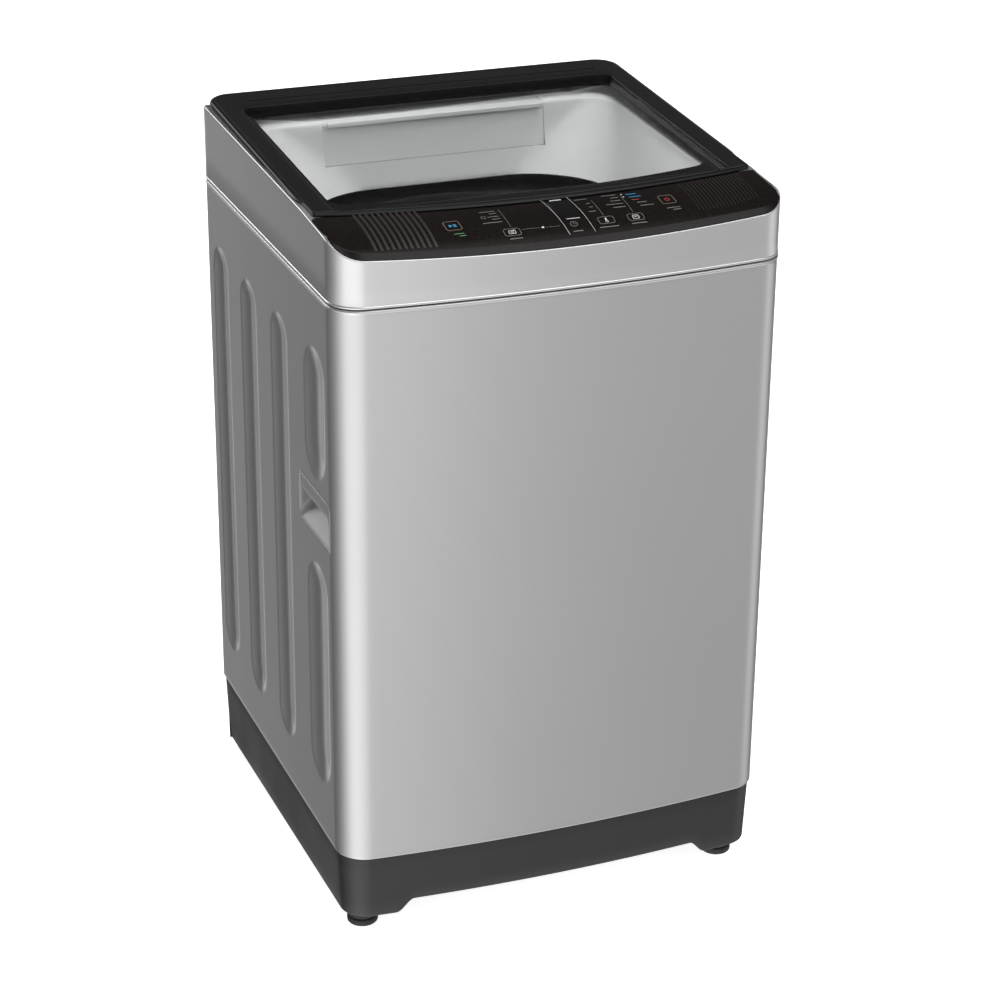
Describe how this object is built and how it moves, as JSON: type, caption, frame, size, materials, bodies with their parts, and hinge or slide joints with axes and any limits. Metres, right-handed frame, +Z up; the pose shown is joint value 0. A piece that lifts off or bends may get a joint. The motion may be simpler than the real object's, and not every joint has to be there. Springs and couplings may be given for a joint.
{
  "type": "top load washing machine",
  "caption": "Domestic top load washing machine with a hinged glazed lid, front control fascia, detergent drawer and a spinning basket hung in a sprung tub.",
  "frame": {"origin": "on the floor, under the middle of the cabinet's bounding box", "axes": "+Z up, front of the machine towards -Y, +X to the right seen from the front"},
  "size_m": [0.55, 0.536, 0.9129],
  "materials": {
    "steel_paint": "satin metallic silver paint",
    "silver_plastic": "satin silver lacquer on moulded plastic",
    "black_plastic": "fine moulded grain",
    "gloss_black": "glossy",
    "light_grey_plastic": "semi-gloss",
    "dark_grey_plastic": "satin",
    "white_plastic": "satin",
    "zinc_steel": "zinc plated",
    "stainless": "brushed",
    "cast_metal": "die cast",
    "rubber": "matt",
    "lid_glass": "tempered, printed border",
    "circuit_board": "solder mask"
  },
  "bodies": {
    "cabinet": {"cabinet_shell": "steel_paint", "rear_panel": "steel_paint", "base_frame": "black_plastic", "rear_foot_left": "rubber", "rear_foot_right": "rubber", "suspension_brace": "zinc_steel", "suspension_rod_front_left": "zinc_steel", "suspension_rod_front_right": "zinc_steel", "suspension_rod_rear_left": "zinc_steel", "suspension_rod_rear_right": "zinc_steel", "suspension_spring_front_left": "zinc_steel", "suspension_spring_front_right": "zinc_steel", "suspension_spring_rear_left": "zinc_steel", "suspension_spring_rear_right": "zinc_steel", "top_frame": "silver_plastic", "loading_collar": "light_grey_plastic", "dispenser_housing": "light_grey_plastic", "control_fascia": "gloss_black", "display_window": "gloss_black", "control_board": "circuit_board", "lid_lock": "black_plastic", "inlet_valve": "black_plastic", "cord_gland": "rubber", "drain_outlet": "black_plastic", "side_handle_left": "silver_plastic", "side_handle_right": "silver_plastic"},
    "lid": {"lid_frame": "black_plastic", "lid_glass": "lid_glass", "hinge_pin_left": "zinc_steel", "hinge_pin_right": "zinc_steel"},
    "drawer": {"detergent_drawer": "light_grey_plastic"},
    "tub": {"outer_tub": "light_grey_plastic", "tub_cover": "dark_grey_plastic", "tub_support_plate": "zinc_steel", "gearcase": "cast_metal", "motor": "cast_metal", "drive_belt": "rubber", "drain_valve": "black_plastic"},
    "basket": {"wash_basket": "stainless", "balance_ring": "dark_grey_plastic", "basket_hub": "cast_metal", "spin_shaft": "stainless", "lint_filter": "white_plastic"},
    "agitator": {"pulsator": "light_grey_plastic", "wash_shaft": "stainless", "pulsator_cap": "light_grey_plastic"},
    "input_pulley": {"drive_pulley": "cast_metal"},
    "rotor": {"motor_pulley": "cast_metal"},
    "foot_left": {"front_foot_left": "rubber"},
    "foot_right": {"front_foot_right": "rubber"},
    "key_start": {"start_key": "gloss_black"},
    "key_program": {"program_key": "gloss_black"},
    "key_delay": {"delay_key": "gloss_black"},
    "key_temperature": {"temperature_key": "gloss_black"},
    "key_spin": {"spin_key": "gloss_black"},
    "key_power": {"power_key": "gloss_black"}
  },
  "joints": [
    {"name": "lid_hinge", "type": "hinge", "parent": "cabinet", "child": "lid", "pos_m": [0, 0.252, 0.9035], "axis": [-1, 0, 0], "range_deg": [0, 95]},
    {"name": "drawer_slide", "type": "slide", "parent": "cabinet", "child": "drawer", "axis": [0, -1, 0], "range_m": [0, 0.042]},
    {"name": "tub_bounce", "type": "slide", "parent": "cabinet", "child": "tub", "axis": [0, 0, 1], "range_m": [-0.015, 0.015], "stiffness_N_per_m": 20000, "springref_m": 0.01137, "deforming": ["suspension_spring_front_left", "suspension_spring_front_right", "suspension_spring_rear_left", "suspension_spring_rear_right"]},
    {"name": "basket_spin", "type": "hinge", "parent": "tub", "child": "basket", "pos_m": [0, 0, 0.3], "axis": [0, 0, 1], "continuous": true},
    {"name": "pulsator_spin", "type": "hinge", "parent": "tub", "child": "agitator", "pos_m": [0, 0, 0.31], "axis": [0, 0, 1], "continuous": true},
    {"name": "pulley_spin", "type": "hinge", "parent": "tub", "child": "input_pulley", "pos_m": [0, 0, 0.15], "axis": [0, 0, 1], "continuous": true},
    {"name": "motor_spin", "type": "hinge", "parent": "tub", "child": "rotor", "pos_m": [0, -0.15, 0.15], "axis": [0, 0, 1], "continuous": true},
    {"name": "foot_left_screw", "type": "slide", "parent": "cabinet", "child": "foot_left", "axis": [0, 0, -1], "range_m": [0, 0.012]},
    {"name": "foot_right_screw", "type": "slide", "parent": "cabinet", "child": "foot_right", "axis": [0, 0, -1], "range_m": [0, 0.012]},
    {"name": "start_press", "type": "slide", "parent": "cabinet", "child": "key_start", "axis": [0, 0.2317, -0.9728], "range_m": [0, 0.0008], "stiffness_N_per_m": 800, "springref_m": -0.0004},
    {"name": "program_press", "type": "slide", "parent": "cabinet", "child": "key_program", "axis": [0, 0.3728, -0.9279], "range_m": [0, 0.0008], "stiffness_N_per_m": 800, "springref_m": -0.0004},
    {"name": "delay_press", "type": "slide", "parent": "cabinet", "child": "key_delay", "axis": [0, 0.3611, -0.9325], "range_m": [0, 0.0008], "stiffness_N_per_m": 800, "springref_m": -0.0004},
    {"name": "temperature_press", "type": "slide", "parent": "cabinet", "child": "key_temperature", "axis": [0, 0.3591, -0.9333], "range_m": [0, 0.0008], "stiffness_N_per_m": 800, "springref_m": -0.0004},
    {"name": "spin_press", "type": "slide", "parent": "cabinet", "child": "key_spin", "axis": [0, 0.3611, -0.9325], "range_m": [0, 0.0008], "stiffness_N_per_m": 800, "springref_m": -0.0004},
    {"name": "power_press", "type": "slide", "parent": "cabinet", "child": "key_power", "axis": [0, 0.2091, -0.9779], "range_m": [0, 0.0008], "stiffness_N_per_m": 800, "springref_m": -0.0004}
  ],
  "couplings": [
    {"joint": "pulley_spin", "follows": "pulsator_spin", "ratio": 5},
    {"joint": "motor_spin", "follows": "pulsator_spin", "ratio": 16.3}
  ]
}
